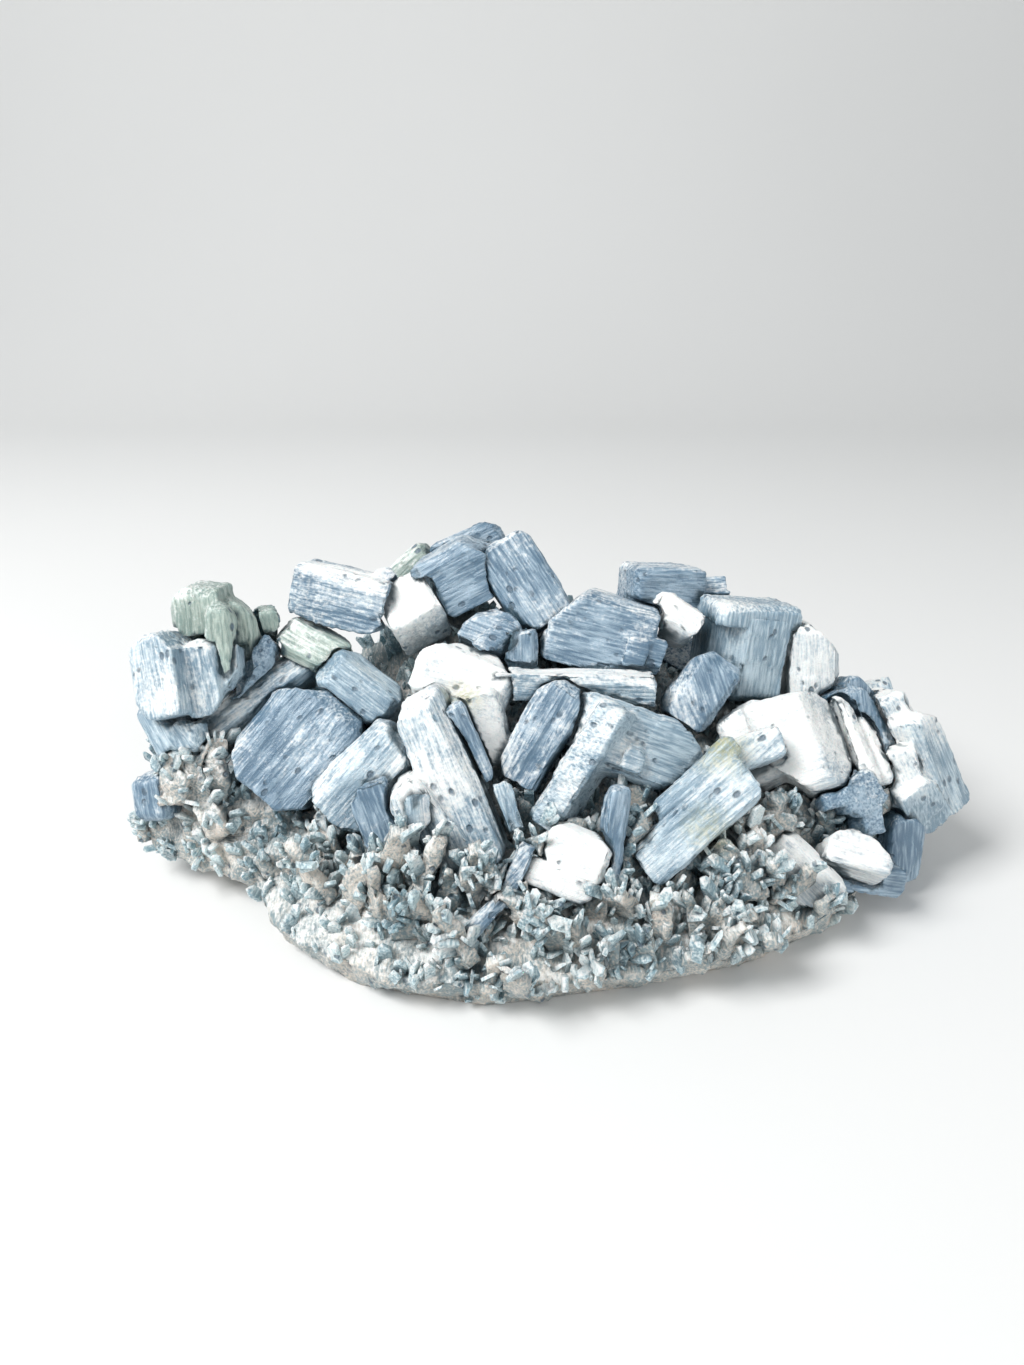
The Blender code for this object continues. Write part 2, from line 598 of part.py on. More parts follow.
def make_crystals(nodes, collection, cutters):
    """Every crystal node, each trimmed where it meets one made before it, and their hollows."""
    made = []
    for name, crystals in nodes.items():
        first, *others = [new_cutter(name, crystal_mesh(crystal, name), cutters) for crystal in crystals]
        if others:
            apply_boolean(first, "UNION", others)
            remove_objects(others)
        grown = [crystal_mesh(crystal, name, CONTACT_GAP) for crystal in crystals]
        hollows = [new_cutter(name + " hollow", bm, cutters) for bm in grown]
        made.append((first, hollows))
    for index, (obj, _) in enumerate(made):
        box = corner_box(obj)
        before = [hollow for _, hollows in made[:index] for hollow in hollows]
        near = [hollow for hollow in before if boxes_meet(box, corner_box(hollow))]
        if near:
            apply_boolean(obj, "DIFFERENCE", near)
            keep_largest_body(obj)
        cutters.objects.unlink(obj)
        collection.objects.link(obj)
        obj.hide_render = False
        obj.display_type = "TEXTURED"
    return [obj for obj, _ in made], [hollow for _, hollows in made for hollow in hollows]


def make_matrix(collection, cutters, hollows):
    """The mound with its crust of blades fused on, hollowed where the crystals sit in it."""
    matrix = make_mound(collection)
    wander = random.Random(BLADE_SEED)
    blades = [blade_mesh(frame, size, wander) for frame, size in crust_blades()]
    blades += [crystal_mesh(blade, "blade") for blade in loose_blades()]
    crust = [new_cutter("blade", bm, cutters) for bm in blades]
    apply_boolean(matrix, "UNION", crust)
    remove_objects(crust)
    apply_boolean(matrix, "DIFFERENCE", hollows)
    keep_largest_body(matrix)
    level = bmesh.new()
    level.from_mesh(matrix.data)
    slice_off(level, Vector((0.0, 0.0, 0.0)), Vector((0.0, 0.0, -1.0)))
    level.to_mesh(matrix.data)
    level.free()
    return matrix


def centre_on_origin(objects):
    """Move the meshes so that the origin is the bottom centre of them all, and go from mm to metres."""
    boxes = [corner_box(obj) for obj in objects]
    low = Vector([min(box[0][axis] for box in boxes) for axis in range(3)])
    high = Vector([max(box[1][axis] for box in boxes) for axis in range(3)])
    centre = Vector(((low.x + high.x) / 2, (low.y + high.y) / 2, low.z))
    for obj in objects:
        obj.data.transform(Matrix.Scale(MM, 4) @ Matrix.Translation(-centre))
    return centre


def finish(obj, name):
    """Give an object one of the finishes, as a material of its own."""
    colour, roughness = FINISHES[name]
    material = bpy.data.materials.new(obj.name)
    material.use_nodes = True
    shader = material.node_tree.nodes["Principled BSDF"]
    shader.inputs["Base Color"].default_value = (*colour, 1.0)
    shader.inputs["Roughness"].default_value = roughness
    shader.inputs["Metallic"].default_value = 0.0
    obj.data.materials.clear()
    obj.data.materials.append(material)


def clear_scene():
    """Remove the scene's objects."""
    for obj in list(bpy.data.objects):
        bpy.data.objects.remove(obj, do_unlink=True)


def main():
    """Build the specimen. Returns how far it was moved to stand on the origin, in mm."""
    clear_scene()
    specimen = new_collection("Blue barite specimen")
    cutters = new_collection("Cutters")
    nodes = {**middle_crystals(), **left_crystals(), **right_crystals(), **back_row_crystals()}
    nodes.update(hidden_crystals())
    crystals, hollows = make_crystals(nodes, specimen, cutters)
    matrix = make_matrix(specimen, cutters, hollows)
    remove_objects(hollows)
    chosen = {crystal: name for name, group in FINISH_OF.items() for crystal in group}
    for obj in crystals:
        finish(obj, chosen.get(obj.name, USUAL_FINISH))
    finish(matrix, "crust")
    return centre_on_origin([matrix, *crystals])


shift = main()
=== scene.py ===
"""A blue barite specimen: tabular crystals standing on a crust of small blades.

Each crystal of the frame gets worn edges, growth ridges and a milky blue finish with white rime, painted
light on its upward and left-facing sides and painted shade in its pits and crevices.
The crust gets a lumpy skin and a druse of small blades.
Noise frequencies are in cycles per millimetre, and a name ending in _mm holds millimetres.
"""

import logging
import math
import random
from dataclasses import dataclass, field
from enum import Enum

import bmesh
import bpy
from mathutils import Matrix, Vector, noise
from mathutils.bvhtree import BVHTree


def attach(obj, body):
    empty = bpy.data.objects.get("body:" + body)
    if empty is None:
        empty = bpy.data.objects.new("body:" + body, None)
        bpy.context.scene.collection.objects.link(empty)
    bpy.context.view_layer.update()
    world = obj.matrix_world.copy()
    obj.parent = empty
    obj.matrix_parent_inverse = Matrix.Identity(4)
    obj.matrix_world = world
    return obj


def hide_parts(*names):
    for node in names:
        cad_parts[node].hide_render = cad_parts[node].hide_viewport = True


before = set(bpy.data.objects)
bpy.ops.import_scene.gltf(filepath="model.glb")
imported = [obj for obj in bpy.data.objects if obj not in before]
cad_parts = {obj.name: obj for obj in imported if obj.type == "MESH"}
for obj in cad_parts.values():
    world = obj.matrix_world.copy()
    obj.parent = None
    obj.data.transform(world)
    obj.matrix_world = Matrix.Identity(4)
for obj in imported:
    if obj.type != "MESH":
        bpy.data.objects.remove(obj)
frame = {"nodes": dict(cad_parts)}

MM = 0.001
BODY = "root"
MATRIX_NODE = "matrix"
# the rime attribute holds real rime plus painted light on the sides that face up and left
GROWTH, RIME_AND_LIT_WHITE, CREVICE_SHADE = "growth", "rime", "crevice_shade"
GOLDEN_ANGLE = 2.399963
LOG = logging.getLogger("barite")

Colour = tuple[float, float, float, float]
Triple = tuple[float, float, float]


class Habit(Enum):
    """The colour family of a crystal, by the record's slot for it."""

    STEEL = "steel_blue_barite"
    PALE = "pale_blue_barite"
    WHITE = "white_barite"
    GREEN = "green_grey_barite"


class StainKind(Enum):
    """A mineral stain's kind, by the mesh attribute that holds it."""

    RUST = "rust"
    OLIVE = "olive"


@dataclass(frozen=True)
class CrystalLook:
    """How one crystal differs from the others.

    rime is how much more white it has than usual. wear_mm and ridges_mm are the depths of its chipped
    edges and of its growth ridges.
    """

    habit: Habit
    rime: float = 0.0
    wear_mm: float = 0.3
    ridges_mm: float = 0.3


@dataclass(frozen=True)
class Stain:
    """A mineral stain: its place, its reach and its kind."""

    at_mm: Triple
    reach_mm: float
    kind: StainKind = StainKind.RUST


STEEL, PALE, WHITE, GREEN = Habit
LOOKS = {
    "left_tower": CrystalLook(GREEN),
    "green_round": CrystalLook(GREEN),
    "green_back": CrystalLook(GREEN),
    "grey_block": CrystalLook(GREEN, rime=0.02),
    "left_peak": CrystalLook(STEEL, rime=-0.12),
    "dark_wedge": CrystalLook(STEEL, rime=-0.04),
    "column_slab": CrystalLook(STEEL, rime=-0.02),
    "big_rhomb": CrystalLook(STEEL),
    "back_log": CrystalLook(STEEL, rime=0.16),
    "glassy_prism": CrystalLook(PALE),
    "centre_plate": CrystalLook(PALE, rime=0.05),
    "left_knobs": CrystalLook(PALE, rime=0.05),
    "left_cap": CrystalLook(PALE, rime=0.08),
    "slanting_bar": CrystalLook(PALE, rime=0.08),
    "fibrous_rhomb": CrystalLook(PALE, rime=0.08),
    "far_right_blades": CrystalLook(PALE, rime=0.12),
    "tall_column": CrystalLook(PALE, rime=0.16),
    "horizontal_bar": CrystalLook(PALE, rime=0.2),
    "pitted_block": CrystalLook(WHITE, rime=0.18),
    "right_wedge": CrystalLook(WHITE, rime=0.2),
    "pale_block": CrystalLook(WHITE, rime=0.25),
    "white_block": CrystalLook(WHITE, rime=0.25),
    "white_pyramid": CrystalLook(WHITE, rime=0.25),
    "white_cube": CrystalLook(WHITE, rime=0.3),
    "white_knob": CrystalLook(WHITE, rime=0.3),
    "white_lobe": CrystalLook(WHITE, rime=0.35),
}
STAINS = (
    Stain((-50.0, -26.0, 20.0), 2.6),
    Stain((-44.0, -30.0, 14.0), 2.4),
    Stain((6.0, -8.0, 46.0), 3.0),
    Stain((26.0, -24.0, 24.0), 3.0),
    Stain((-20.0, -36.0, 12.0), 2.4),
    Stain((27.0, -20.0, 34.0), 7.0, StainKind.OLIVE),
    Stain((24.0, -26.0, 22.0), 6.0, StainKind.OLIVE),
    Stain((-16.0, -10.0, 38.0), 5.0, StainKind.OLIVE),
)


class ShaderTree:
    """A short way to write one material's node tree."""

    def __init__(self, name: str) -> None:
        """Starts a material.

        Args:
            name: the material's name.
        """
        self.material = bpy.data.materials.new(name)
        self.material.use_nodes = True
        self.tree = self.material.node_tree
        self.surface = self.tree.nodes["Principled BSDF"]

    def node(self, kind: str, inputs: dict[str | int, object], **settings: object) -> bpy.types.Node:
        """Adds a node.

        Args:
            kind: the node's Blender class.
            inputs: a value or an output socket for each input socket.
            settings: the node's own properties.

        Returns:
            The new node.
        """
        made = self.tree.nodes.new(kind)
        for key, value in settings.items():
            setattr(made, key, value)
        for key, value in inputs.items():
            if isinstance(value, bpy.types.NodeSocket):
                self.tree.links.new(value, made.inputs[key])
            else:
                made.inputs[key].default_value = value
        return made

    def attribute(self, name: str) -> bpy.types.NodeSocket:
        """Reads a mesh attribute that holds one number."""
        return self.node("ShaderNodeAttribute", {}, attribute_name=name).outputs["Fac"]

    def maths(self, operation: str, *values: object) -> bpy.types.NodeSocket:
        """Works out one number from others, as the named operation says."""
        return self.node("ShaderNodeMath", dict(enumerate(values)), operation=operation).outputs[0]

    def blend(self, first: object, weight: float, second: object, other: float) -> bpy.types.NodeSocket:
        """The first number times its weight, plus the second times the other weight."""
        return self.maths("ADD", self.maths("MULTIPLY", first, weight), self.maths("MULTIPLY", second, other))

    def stretched(self, at: bpy.types.NodeSocket, scale: Triple) -> bpy.types.NodeSocket:
        """The coordinates times scale."""
        return self.node("ShaderNodeVectorMath", {0: at, 1: scale}, operation="MULTIPLY").outputs[0]

    def noise(self, at: bpy.types.NodeSocket, scale: float, detail: float) -> bpy.types.NodeSocket:
        """Cloudy noise from 0 to 1, of that frequency and with so many finer layers."""
        inputs = {"Vector": at, "Scale": scale, "Detail": detail}
        return self.node("ShaderNodeTexNoise", inputs).outputs[0]

    def step(
        self, value: object, low: float, high: float, bottom: float = 0.0, top: float = 1.0
    ) -> bpy.types.NodeSocket:
        """Rises smoothly between two levels.

        Args:
            value: the number to look at.
            low: where the rise starts.
            high: where the rise ends.
            bottom: the level before it.
            top: the level after it.

        Returns:
            The level.
        """
        inputs = {"Value": value, "From Min": low, "From Max": high, "To Min": bottom, "To Max": top}
        return self.node("ShaderNodeMapRange", inputs, interpolation_type="SMOOTHSTEP").outputs[0]

    def mix(self, share: object, first: object, second: object) -> bpy.types.NodeSocket:
        """Mixes two colours, by the share of the second."""
        inputs = {0: share, 6: first, 7: second}
        return self.node("ShaderNodeMix", inputs, data_type="RGBA").outputs[2]

    def bump(self, height: bpy.types.NodeSocket, depth_mm: float) -> None:
        """Gives the surface small relief of that depth."""
        inputs = {"Height": height, "Distance": depth_mm * MM, "Strength": 1.0}
        self.join(self.node("ShaderNodeBump", inputs).outputs[0], "Normal")

    def join(self, value: bpy.types.NodeSocket, socket: str) -> None:
        """Feeds the surface's named socket."""
        self.tree.links.new(value, self.surface.inputs[socket])

    def settle(self, **constants: object) -> None:
        """Sets the surface's own sockets, each named with _ for a space."""
        for key, value in constants.items():
            self.surface.inputs[key.replace("_", " ")].default_value = value


@dataclass(frozen=True)
class BariteFinish:
    """Milky barite: a fibrous blue body under patches of white rime, whitened further as painted light on
    upward and left-facing sides, with small pits and crevices darkened as painted shade.

    The fibres run along the crystal, so their frequency is low on the second axis of growth.
    """

    name: str
    dark: Colour
    light: Colour
    milk: float = 0.3
    # the white of the rime, also used for the painted light on upward and left-facing sides
    rime: Colour = (0.86, 0.87, 0.85, 1.0)
    # painted shade: the dark laid into the small pits
    pit_shade_colour: Colour = (0.09, 0.14, 0.19, 1.0)
    # painted shade: the dark teal laid into crevices, where near faces hide the sky
    crevice_shade_colour: Colour = (0.03, 0.065, 0.085, 1.0)
    rust: Colour = (0.36, 0.13, 0.03, 1.0)
    olive: Colour = (0.36, 0.34, 0.12, 1.0)
    fibre_scale: Triple = (2.4, 0.22, 2.4)
    cloud_scale: float = 0.11
    speck_scale: float = 1.5
    grain_scale: float = 4.0
    pit_scale: Triple = (0.5, 0.34, 0.5)
    pit_patch_scale: float = 0.25
    pit_shade_strength: float = 0.85
    relief_mm: float = 0.35
    scatter_mm: float = 1.6

    def material(self) -> bpy.types.Material:
        """Builds the finish as a Blender material."""
        t = ShaderTree(self.name)
        at = t.node("ShaderNodeAttribute", {}, attribute_name=GROWTH).outputs["Vector"]
        fibre = t.noise(t.stretched(at, self.fibre_scale), 1.0, 4.0)
        cloud = t.noise(at, self.cloud_scale, 3.0)
        speck = t.noise(at, self.speck_scale, 4.0)
        body = t.mix(t.step(t.blend(fibre, 1.0, cloud, 0.8), 0.7, 1.1), self.dark, self.light)
        wander = t.maths("ADD", t.blend(fibre, 0.45, cloud, 0.5), t.maths("MULTIPLY", speck, 0.55))
        # white rime together with painted light: whiter where the faces look up or to the left
        rime_and_lit_white = t.step(t.maths("ADD", t.attribute(RIME_AND_LIT_WHITE), wander), 0.86, 1.22)
        pitted = self.pits(t, at)
        shown = t.mix(rime_and_lit_white, body, self.rime)
        # painted shade in the pits, which the bump also dents
        shown = t.mix(t.maths("MULTIPLY", pitted, self.pit_shade_strength), shown, self.pit_shade_colour)
        for kind, colour in ((StainKind.RUST, self.rust), (StainKind.OLIVE, self.olive)):
            share = t.maths("MULTIPLY", t.attribute(kind.value), t.step(speck, 0.35, 0.6, 0.3))
            shown = t.mix(share, shown, colour)
        # painted shade: the colour turns dark teal where near faces hide the sky
        t.join(t.mix(t.attribute(CREVICE_SHADE), shown, self.crevice_shade_colour), "Base Color")
        t.join(t.step(rime_and_lit_white, 0.0, 1.0, 0.3, 0.55), "Roughness")
        relief = t.blend(fibre, 0.6, t.noise(at, self.grain_scale, 2.0), 0.4)
        t.bump(t.maths("SUBTRACT", relief, pitted), self.relief_mm)
        t.settle(IOR=1.64, Subsurface_Weight=self.milk, Subsurface_Radius=(0.7, 1.0, 1.1))
        t.settle(Subsurface_Scale=self.scatter_mm * MM)
        return t.material

    def pits(self, t: ShaderTree, at: bpy.types.NodeSocket) -> bpy.types.NodeSocket:
        """Small pits that come in patches; the finish darkens them as painted shade.

        Args:
            t: the tree to add them to.
            at: the crystal's own coordinates.

        Returns:
            1 in one of the small dents and 0 elsewhere.
        """
        cells = {"Vector": t.stretched(at, self.pit_scale), "Scale": 1.0}
        spots = t.node("ShaderNodeTexVoronoi", cells).outputs["Distance"]
        patches = t.step(t.noise(at, self.pit_patch_scale, 2.0), 0.5, 0.62)
        return t.maths("MULTIPLY", t.step(spots, 0.3, 0.16), patches)


@dataclass(frozen=True)
class StudioFinish:
    """Plain matt paint for the floor and the backdrop, with a faint mottle."""

    name: str = "pale_paper"
    colour: Colour = (0.80, 0.80, 0.79, 1.0)
    darker: float = 0.95
    mottle_scale: float = 3.0

    def material(self) -> bpy.types.Material:
        """Builds the finish as a Blender material."""
        t = ShaderTree(self.name)
        at = t.node("ShaderNodeTexCoord", {}).outputs["Object"]
        shade = tuple(self.darker * part for part in self.colour[:3]) + (1.0,)
        t.join(t.mix(t.noise(at, self.mottle_scale, 3.0), self.colour, shade), "Base Color")
        t.settle(Roughness=0.85)
        return t.material


CRYSTAL_FINISHES = {
    STEEL: BariteFinish("steel_blue_barite_look", (0.10, 0.18, 0.26, 1.0), (0.36, 0.47, 0.56, 1.0)),
    PALE: BariteFinish("pale_blue_barite_look", (0.20, 0.30, 0.38, 1.0), (0.52, 0.63, 0.69, 1.0)),
    WHITE: BariteFinish("white_barite_look", (0.42, 0.50, 0.55, 1.0), (0.75, 0.78, 0.78, 1.0)),
    GREEN: BariteFinish("green_grey_barite_look", (0.24, 0.32, 0.29, 1.0), (0.50, 0.58, 0.52, 1.0), 0.5),
}
CRUST_FINISH = BariteFinish("crust_look", (0.22, 0.29, 0.31, 1.0), (0.66, 0.60, 0.53, 1.0))
DRUSE_FINISH = BariteFinish("druse_look", (0.22, 0.33, 0.38, 1.0), (0.66, 0.77, 0.78, 1.0))


@dataclass
class Neighbourhood:
    """All nodes of the frame together, to see how much near faces hide the sky over a point, for painted
    shade in crevices.
    """

    nodes: dict[str, bpy.types.Object]
    reach_mm: float = 9.0
    start_mm: float = 0.8
    upward: float = 0.35
    rays: int = 7
    tree: BVHTree = field(init=False)

    def __post_init__(self) -> None:
        """Joins the triangles of all nodes into one search tree."""
        joined = bmesh.new()
        for part in self.nodes.values():
            joined.from_mesh(part.data)
        self.tree = BVHTree.FromBMesh(joined)
        joined.free()

    def crevice_shade(self, at: Vector, normal: Vector) -> float:
        """The share of the sky over a point that near faces hide, which sets its painted shade.

        Args:
            at: the point, in metres.
            normal: the surface's direction there.

        Returns:
            0 on an open face and 1 far down between crystals.
        """
        start, reach, hidden = at + normal * self.start_mm * MM, self.reach_mm * MM, 0.0
        for index in range(self.rays):
            turn = index * GOLDEN_ANGLE
            side = Vector((math.cos(turn), math.sin(turn), 0.0)) * (index / self.rays)
            toward = (normal + side + Vector((0.0, 0.0, self.upward))).normalized()
            distance = self.tree.ray_cast(start, toward, reach)[3]
            if distance is not None:
                hidden += 1.0 - distance / reach
        return hidden / self.rays


@dataclass
class Skin:
    """A mesh in the making, and what is painted on it. Every piece of the specimen is made by one."""

    around: Neighbourhood
    mesh: bmesh.types.BMesh = field(default_factory=bmesh.new)
    rounds: int = 6
    merge: float = 1e-6
    flat_angle: float = math.radians(1.0)
    sharp_angle: float = math.radians(28.0)
    # painted light and shade: upward and left-facing sides get more white, right-facing sides less
    lit_top_white: float = 0.26
    left_light_right_shade: float = 0.12
    rim_rime: float = 0.12
    rime_drift: float = 0.18
    rime_drift_scale: float = 0.09
    # painted shade: how much the hidden sky darkens a point
    open_share: float = 0.22
    crevice_shade_gain: float = 1.6
    most_crevice_shade: float = 0.85
    most_stain: float = 0.9

    def copy_node(self, node: str) -> None:
        """Starts from the frame's node, with its loose triangles merged and flat faces made one."""
        self.mesh.from_mesh(self.around.nodes[node].data)
        bmesh.ops.remove_doubles(self.mesh, verts=self.mesh.verts, dist=self.merge)
        bmesh.ops.dissolve_limit(
            self.mesh, angle_limit=self.flat_angle, verts=self.mesh.verts, edges=self.mesh.edges
        )

    def axes(self) -> Matrix:
        """Finds the crystal's own directions.

        Returns:
            Its width, length and thickness, as the rows of a matrix.
        """
        widest = max(self.mesh.faces, key=lambda face: face.calc_area())
        along = max(widest.edges, key=lambda edge: edge.calc_length())
        length = (along.verts[1].co - along.verts[0].co).normalized()
        thickness = widest.normal.copy()
        return Matrix((length.cross(thickness), length, thickness))

    def refine(self, edge_mm: float) -> None:
        """Halves long edges, a few times over.

        Args:
            edge_mm: the length past which an edge is halved.
        """
        bmesh.ops.triangulate(self.mesh, faces=self.mesh.faces)
        for _ in range(self.rounds):
            long_edges = [e for e in self.mesh.edges if e.calc_length() > edge_mm * MM]
            bmesh.ops.subdivide_edges(self.mesh, edges=long_edges, cuts=1)
            split = [f for f in self.mesh.faces if len(f.verts) > 3]
            bmesh.ops.triangulate(self.mesh, faces=split, quad_method="SHORT_EDGE")

    def rims(self) -> set[bmesh.types.BMVert]:
        """The vertices on the sharp edges."""
        sharp = [e for e in self.mesh.edges if e.calc_face_angle(0.0) > self.sharp_angle]
        return {vert for edge in sharp for vert in edge.verts}

    def wear(self, rims: set[bmesh.types.BMVert], passes: int) -> None:
        """Rounds the sharp edges.

        Args:
            rims: the vertices on them.
            passes: how often they are smoothed.
        """
        worn = [vert for vert in self.mesh.verts if vert in rims]
        for _ in range(passes):
            bmesh.ops.smooth_vert(
                self.mesh, verts=worn, factor=0.5, use_axis_x=True, use_axis_y=True, use_axis_z=True
            )
        self.mesh.normal_update()

    def paint(self, axes: Matrix, rime: float, rims: set[bmesh.types.BMVert]) -> None:
        """Writes the attributes that the finishes read.

        Args:
            axes: the crystal's own directions.
            rime: how much more white it has than usual.
            rims: the vertices on its sharp edges.
        """
        self.mesh.normal_update()
        layers = self.mesh.verts.layers
        growth = layers.float_vector.new(GROWTH)
        names = (RIME_AND_LIT_WHITE, CREVICE_SHADE, *(kind.value for kind in StainKind))
        floats = {name: layers.float.new(name) for name in names}
        for vert in self.mesh.verts:
            at, normal = vert.co / MM, vert.normal
            vert[growth] = axes @ at
            # painted light on upward and left-facing sides and painted shade on right-facing ones; sharp rims
            # are whitened too
            white = self.lit_top_white * max(normal.z, 0.0) - self.left_light_right_shade * normal.x
            white += self.rim_rime * (vert in rims)
            vert[floats[RIME_AND_LIT_WHITE]] = rime + white + self.rime_drift * noise.noise(at * self.rime_drift_scale)
            # painted shade: the share of sky that near faces hide darkens the colour here
            hidden = max(self.around.crevice_shade(vert.co, normal) - self.open_share, 0.0)
            vert[floats[CREVICE_SHADE]] = min(hidden * self.crevice_shade_gain, self.most_crevice_shade)
            for stain in STAINS:
                near = 1.0 - (at - Vector(stain.at_mm)).length / stain.reach_mm
                if near > 0.0:
                    layer = floats[stain.kind.value]
                    vert[layer] = max(vert[layer], near * self.most_stain)

    def finished(self, name: str, material: bpy.types.Material, smooth: bool = True) -> bpy.types.Object:
        """Turns the mesh into an object of the scene.

        Args:
            name: the object's name.
            material: its finish.
            smooth: whether it is shaded smooth.

        Returns:
            The object.
        """
        for face in self.mesh.faces:
            face.smooth = smooth
        data = bpy.data.meshes.new(name)
        self.mesh.to_mesh(data)
        self.mesh.free()
        data.materials.append(material)
        piece = bpy.data.objects.new(name, data)
        bpy.context.scene.collection.objects.link(piece)
        return piece


@dataclass
class Crystal:
    """One crystal of the frame, with worn edges and growth ridges."""

    node: str
    look: CrystalLook
    around: Neighbourhood
    edge_mm: float = 1.15
    worn_passes: int = 2
    ridge_scale: Triple = (0.9, 0.09, 0.9)
    swell_mm: float = 0.3
    swell_scale: float = 0.13
    terrace_mm: float = 0.22
    terraces: float = 2.2
    terrace_scale: float = 0.07
    terrace_start: Triple = (7.0, 3.0, 1.0)
    chip_scale: float = 0.45
    chip_gain: float = 1.6
    chip_floor: float = 0.1
    even_wear: float = 0.4

    def build(self, material: bpy.types.Material) -> bpy.types.Object:
        """Makes the crystal's surface.

        Args:
            material: its finish.

        Returns:
            The piece that stands for the frame's node.
        """
        skin = Skin(self.around)
        skin.copy_node(self.node)
        axes = skin.axes()
        skin.refine(self.edge_mm)
        rims = skin.rims()
        skin.wear(rims, self.worn_passes)
        for vert in skin.mesh.verts:
            depth = self.relief_mm(axes @ (vert.co / MM), vert in rims)
            vert.co -= vert.normal * depth * MM
        skin.paint(axes, self.look.rime, rims)
        return skin.finished(f"{self.node}_crystal", material)

    def relief_mm(self, at: Vector, on_rim: bool) -> float:
        """How far a point sinks below the plain face.

        Args:
            at: the point in the crystal's own directions, in mm.
            on_rim: whether it is on a sharp edge.

        Returns:
            The depth in mm.
        """
        ridge = noise.noise(at * Vector(self.ridge_scale))
        swell = noise.noise(at * self.swell_scale)
        level = noise.noise(at * self.terrace_scale + Vector(self.terrace_start))
        terrace = math.floor(self.terraces * level) * self.terrace_mm
        chip = 0.0
        if on_rim:
            chip = max(noise.noise(at * self.chip_scale) - self.chip_floor, 0.0) * self.chip_gain
        worn = self.look.wear_mm * (self.even_wear + chip)
        return self.look.ridges_mm * ridge + self.swell_mm * swell - terrace + worn

    def dress(self, piece: bpy.types.Object) -> None:
        """Ties the piece to the frame's body and hides the frame's node."""
        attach(piece, BODY)
        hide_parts(self.node)


@dataclass
class Crust:
    """The matrix under the crystals, with a lumpy, grainy skin and a flat underside."""

    around: Neighbourhood
    edge_mm: float = 1.3
    lump_mm: float = 1.1
    lump_scale: float = 0.28
    grain_mm: float = 0.5
    grain_scale: float = 0.9
    foot_mm: float = 0.6

    def build(self, material: bpy.types.Material) -> bpy.types.Object:
        """Makes the crust's surface.

        Args:
            material: its finish.

        Returns:
            The piece that stands for the frame's matrix.
        """
        skin = Skin(self.around)
        skin.copy_node(MATRIX_NODE)
        skin.refine(self.edge_mm)
        skin.mesh.normal_update()
        for vert in skin.mesh.verts:
            at = vert.co / MM
            if at.z > self.foot_mm:
                lump = self.lump_mm * noise.noise(at * self.lump_scale)
                lump += self.grain_mm * noise.noise(at * self.grain_scale)
                vert.co += vert.normal * lump * MM
        skin.paint(Matrix.Identity(3), 0.0, set())
        return skin.finished("matrix_crust", material)

    def dress(self, piece: bpy.types.Object) -> None:
        """Ties the piece to the frame's body and hides the frame's node."""
        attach(piece, BODY)
        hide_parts(MATRIX_NODE)


